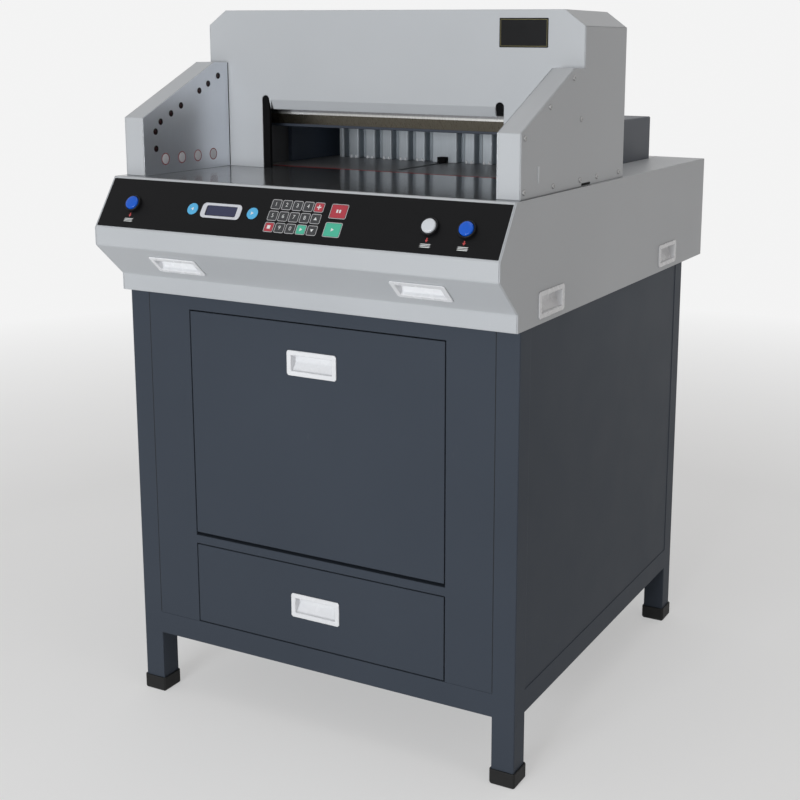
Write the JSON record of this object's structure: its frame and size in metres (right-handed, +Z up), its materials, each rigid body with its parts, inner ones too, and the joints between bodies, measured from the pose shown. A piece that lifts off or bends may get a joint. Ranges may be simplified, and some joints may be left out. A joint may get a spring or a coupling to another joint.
{
  "type": "electric paper cutter",
  "caption": "Programme-controlled electric guillotine for paper, with a cutting head, guarded front table and control slope on a cabinet stand with a drop-down door and a drawer.",
  "frame": {"origin": "on the floor under the middle of the machine's outline", "axes": "+X to the operator's right, +Y from the operator to the back, +Z up"},
  "size_m": [0.757, 0.952, 1.2244],
  "materials": {
    "light_grey_paint": "satin",
    "slate_paint": "satin",
    "dark_blue_paint": "satin",
    "black_rubber": "matt",
    "white_plastic": "glossy",
    "panel_foil": "satin",
    "blue_plastic": "glossy",
    "button_white": "glossy",
    "display_glass": "glossy",
    "black_plastic": "matt",
    "red_plastic": "matt",
    "polished_steel": "polished",
    "knife_steel": "ground",
    "stainless_sheet": "brushed",
    "machine_steel": "machined",
    "zinc_screws": "zinc plated",
    "grey_cast_iron": "painted",
    "motor_paint": "satin"
  },
  "bodies": {
    "machine": {"stand_frame": "slate_paint", "foot_caps": "black_rubber", "front_frame_plate": "slate_paint", "side_panels": "slate_paint", "rear_panel": "slate_paint", "cabinet_shelf": "slate_paint", "drawer_rails": "machine_steel", "housing_front": "light_grey_paint", "housing_rear": "light_grey_paint", "housing_sides": "light_grey_paint", "housing_pulls": "white_plastic", "base_plate": "machine_steel", "control_panel": "panel_foil", "display": "display_glass", "button_collars": "black_plastic", "table": "polished_steel", "cutting_stick": "red_plastic", "left_side_frame": "grey_cast_iron", "right_side_frame": "grey_cast_iron", "crossbeam": "grey_cast_iron", "guide_blocks": "machine_steel", "gearbox": "grey_cast_iron", "main_motor": "motor_paint", "clamp_drive": "machine_steel", "gauge_guides": "machine_steel", "screw_brackets": "machine_steel", "gauge_motor": "motor_paint", "side_lays": "polished_steel", "gauge_cover": "dark_blue_paint", "front_cover": "light_grey_paint", "head_cover": "light_grey_paint", "rear_cover": "light_grey_paint", "side_covers": "light_grey_paint", "cover_screws": "zinc_screws", "guard_shells": "light_grey_paint", "guard_plates": "stainless_sheet", "light_barriers": "black_plastic", "throat_strips": "black_plastic", "control_box": "machine_steel", "power_entry": "black_plastic"},
    "door": {"door_panel": "slate_paint", "door_pull": "white_plastic", "door_hinge_pins": "machine_steel"},
    "drawer": {"drawer_front": "slate_paint", "drawer_tray": "slate_paint", "drawer_pull": "white_plastic"},
    "left_cut_button": {"left_cut_button": "blue_plastic"},
    "right_cut_button": {"right_cut_button": "blue_plastic"},
    "reset_button": {"reset_button": "button_white"},
    "knife_unit": {"knife_carrier": "grey_cast_iron", "knife": "knife_steel", "knife_bolts": "machine_steel"},
    "pull_rod": {"pull_rod": "machine_steel"},
    "crank": {"crank": "machine_steel"},
    "clamp": {"clamp_beam": "dark_blue_paint"},
    "clamp_spindle": {"clamp_spindle": "machine_steel"},
    "gauge": {"back_gauge": "stainless_sheet", "gauge_carriage": "machine_steel"},
    "gauge_screw": {"gauge_screw": "machine_steel"},
    "mains_switch": {"mains_switch": "red_plastic"}
  },
  "joints": [
    {"name": "knife_slide", "type": "slide", "parent": "machine", "child": "knife_unit", "axis": [0.2955, 0, -0.9554], "range_m": [0, 0.08123]},
    {"name": "pull_rod_pivot", "type": "hinge", "parent": "knife_unit", "child": "pull_rod", "pos_m": [0.316, -0.1182, 1.076], "axis": [0, 1, 0], "range_deg": [0, 6.68]},
    {"name": "crank_shaft", "type": "hinge", "parent": "machine", "child": "crank", "pos_m": [0.285, -0.1182, 0.83], "axis": [1, 0, 0], "range_deg": [0, 180]},
    {"name": "clamp_slide", "type": "slide", "parent": "machine", "child": "clamp", "axis": [0, 0, -1], "range_m": [0, 0.072]},
    {"name": "clamp_screw", "type": "hinge", "parent": "machine", "child": "clamp_spindle", "pos_m": [-0.01, -0.0913, 1.18], "axis": [0, 0, 1], "continuous": true},
    {"name": "gauge_slide", "type": "slide", "parent": "machine", "child": "gauge", "axis": [0, 1, 0], "range_m": [-0.156, 0.263]},
    {"name": "gauge_screw_turn", "type": "hinge", "parent": "machine", "child": "gauge_screw", "pos_m": [-0.024, 0.1, 0.905], "axis": [0, 1, 0], "continuous": true},
    {"name": "left_cut_press", "type": "slide", "parent": "machine", "child": "left_cut_button", "axis": [0, 0.8339, -0.5518], "range_m": [0, 0.004], "stiffness_N_per_m": 600},
    {"name": "right_cut_press", "type": "slide", "parent": "machine", "child": "right_cut_button", "axis": [0, 0.8339, -0.5518], "range_m": [0, 0.004], "stiffness_N_per_m": 600},
    {"name": "reset_press", "type": "slide", "parent": "machine", "child": "reset_button", "axis": [0, 0.8339, -0.5518], "range_m": [0, 0.004], "stiffness_N_per_m": 600},
    {"name": "door_hinge", "type": "hinge", "parent": "machine", "child": "door", "pos_m": [0, -0.387, 0.3325], "axis": [1, 0, 0], "range_deg": [0, 90]},
    {"name": "drawer_slide", "type": "slide", "parent": "machine", "child": "drawer", "axis": [0, -1, 0], "range_m": [0, 0.3]},
    {"name": "mains_rocker", "type": "hinge", "parent": "machine", "child": "mains_switch", "pos_m": [-0.208, 0.468, 0.822], "axis": [-1, 0, 0], "range_deg": [0, 18]}
  ],
  "couplings": [
    {"joint": "pull_rod_pivot", "follows": "knife_slide", "rad_per_m": 1.4244},
    {"joint": "crank_shaft", "follows": "knife_slide", "rad_per_m": 38.677},
    {"joint": "clamp_screw", "follows": "clamp_slide", "rad_per_m": 1047.2},
    {"joint": "gauge_screw_turn", "follows": "gauge_slide", "rad_per_m": 1256.6}
  ]
}
